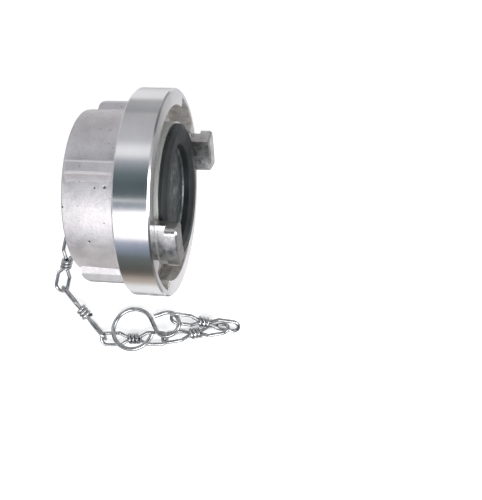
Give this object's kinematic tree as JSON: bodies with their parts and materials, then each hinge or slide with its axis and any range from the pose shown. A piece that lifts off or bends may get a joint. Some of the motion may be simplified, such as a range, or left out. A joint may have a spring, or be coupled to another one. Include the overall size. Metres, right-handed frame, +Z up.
{
  "type": "storz blank cap",
  "caption": "Blank cap for a Storz hose coupling: flanged cast cup with two hooked claws, rubber pressure seal on a turning cover plate, and a knotted chain with an S-hook.",
  "frame": {"origin": "centre of the flange ring's front face, on the coupling axis", "axes": "+X along the coupling axis towards the coupling that the cap closes, +Z up as the cap lies on its flange ring"},
  "size_m": [0.1294, 0.1707, 0.126],
  "materials": {
    "cast_aluminium": "blasted casting, turned ring and face",
    "plate_aluminium": "as cast, turned rim",
    "seal_rubber": "moulded, slight sheen",
    "slide_plastic": "matte",
    "bolt_steel": "zinc plated",
    "chain_steel": "bright zinc plated wire"
  },
  "bodies": {
    "root": {"cap_body": "cast_aluminium", "slide_ring": "slide_plastic", "washer": "bolt_steel"},
    "cover": {"cover_plate": "plate_aluminium", "seal_ring": "seal_rubber", "pivot_bolt": "bolt_steel"},
    "eye": {"chain_eye": "chain_steel"},
    "link_1": {"chain_link_1": "chain_steel"},
    "link_2": {"chain_link_2": "chain_steel"},
    "link_3": {"chain_link_3": "chain_steel"},
    "link_4": {"chain_link_4": "chain_steel"},
    "link_5": {"chain_link_5": "chain_steel"},
    "link_6": {"chain_link_6": "chain_steel"},
    "hook": {"chain_hook": "chain_steel"}
  },
  "joints": [
    {"name": "cover_turn", "type": "hinge", "parent": "root", "child": "cover", "pos_m": [0, 0, 0], "axis": [1, 0, 0], "continuous": true},
    {"name": "eye_swivel", "type": "hinge", "parent": "root", "child": "eye", "pos_m": [-0.0253, 0, 0], "axis": [1, 0, 0], "range_deg": [-25, 45]},
    {"name": "link_1_swing", "type": "hinge", "parent": "eye", "child": "link_1", "pos_m": [-0.0389, -0.0228, -0.0263], "axis": [-0.347, 0.6911, 0.634], "range_deg": [-5, 8]},
    {"name": "link_2_swing", "type": "hinge", "parent": "link_1", "child": "link_2", "pos_m": [-0.0787, -0.0343, -0.0371], "axis": [-0.128, -0.4031, 0.9062], "range_deg": [-24, 6]},
    {"name": "link_3_swing", "type": "hinge", "parent": "link_2", "child": "link_3", "pos_m": [-0.0871, -0.0705, -0.0544], "axis": [-0.7264, -0.6553, 0.2071], "range_deg": [-24, 8]},
    {"name": "link_4_swing", "type": "hinge", "parent": "link_3", "child": "link_4", "pos_m": [-0.0582, -0.1018, -0.0574], "axis": [0.047, -0.188, 0.981], "range_deg": [-24, 8]},
    {"name": "link_5_swing", "type": "hinge", "parent": "link_4", "child": "link_5", "pos_m": [-0.0154, -0.0984, -0.0585], "axis": [-0.172, 0.7462, 0.6431], "range_deg": [0, 24]},
    {"name": "link_6_swing", "type": "hinge", "parent": "link_5", "child": "link_6", "pos_m": [0.0252, -0.0887, -0.059], "axis": [0.282, -0.588, 0.7581], "range_deg": [-20, 0]},
    {"name": "hook_swing", "type": "hinge", "parent": "link_6", "child": "hook", "pos_m": [-0.0086, -0.088, -0.0581], "axis": [-0.9937, 0.087, 0.07], "range_deg": [-2, 24]}
  ]
}
